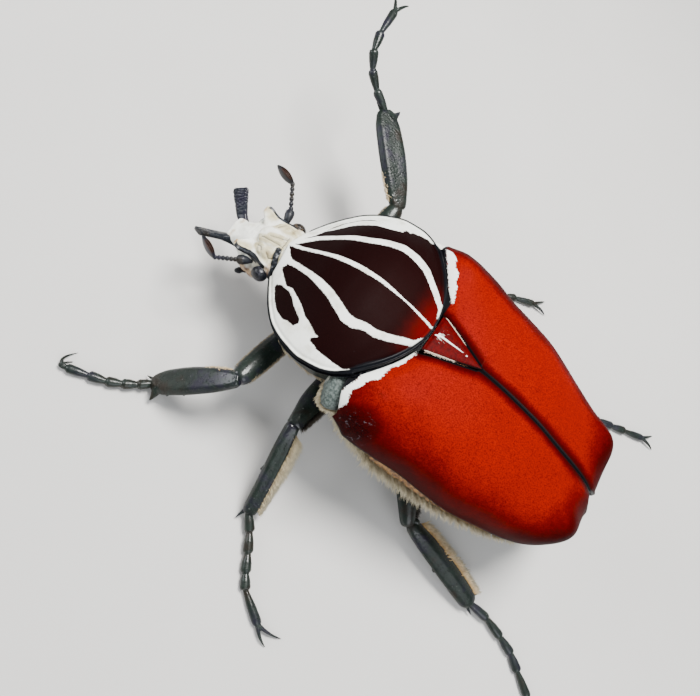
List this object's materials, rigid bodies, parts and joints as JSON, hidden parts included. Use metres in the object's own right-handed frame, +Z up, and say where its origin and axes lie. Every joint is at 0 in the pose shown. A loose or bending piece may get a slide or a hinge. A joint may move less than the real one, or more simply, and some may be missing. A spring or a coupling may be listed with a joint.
{
  "type": "goliath beetle",
  "caption": "Life-size horned beetle with a striped thorax shield and deep red wing cases, standing with one foreleg raised.",
  "frame": {"origin": "on the floor under the centre of the model's bounding box", "axes": "+X towards the head, +Y to the beetle's left, +Z up"},
  "size_m": [0.1156, 0.1087, 0.0312],
  "materials": {
    "elytra_red": "velvety deep red with black margins",
    "pronotum_striped": "velvety black-maroon with chalk-white stripes",
    "scutellum_red": "velvety dark red with a white midline",
    "chalk_white": "chalky white bloom with fine cracks",
    "eye_dark": "dark polished compound eye",
    "underside_black": "green-black shell",
    "shell_black": "polished black shell, punctured"
  },
  "bodies": {
    "root": {"abdomen": "underside_black", "antenna_left": "shell_black", "antenna_right": "shell_black", "coxa_fore_left": "shell_black", "coxa_fore_right": "shell_black", "coxa_hind_left": "shell_black", "coxa_hind_right": "shell_black", "coxa_mid_left": "shell_black", "coxa_mid_right": "shell_black", "elytron_left": "elytra_red", "elytron_right": "elytra_red", "eye_left": "eye_dark", "eye_right": "eye_dark", "femur_fore_left": "shell_black", "femur_fore_right": "shell_black", "femur_hind_left": "shell_black", "femur_hind_right": "shell_black", "femur_mid_left": "shell_black", "femur_mid_right": "shell_black", "head": "chalk_white", "horn_left": "shell_black", "horn_right": "shell_black", "metathorax": "underside_black", "palp_left": "shell_black", "palp_right": "shell_black", "pronotum": "pronotum_striped", "prosternum": "underside_black", "pygidium": "chalk_white", "scutellum": "scutellum_red", "side_plate_left": "chalk_white", "side_plate_right": "chalk_white", "tarsus_fore_left": "shell_black", "tarsus_fore_right": "shell_black", "tarsus_hind_left": "shell_black", "tarsus_hind_right": "shell_black", "tarsus_mid_left": "shell_black", "tarsus_mid_right": "shell_black", "tibia_fore_left": "shell_black", "tibia_fore_right": "shell_black", "tibia_hind_left": "shell_black", "tibia_hind_right": "shell_black", "tibia_mid_left": "shell_black", "tibia_mid_right": "shell_black"}
  },
  "joints": []
}
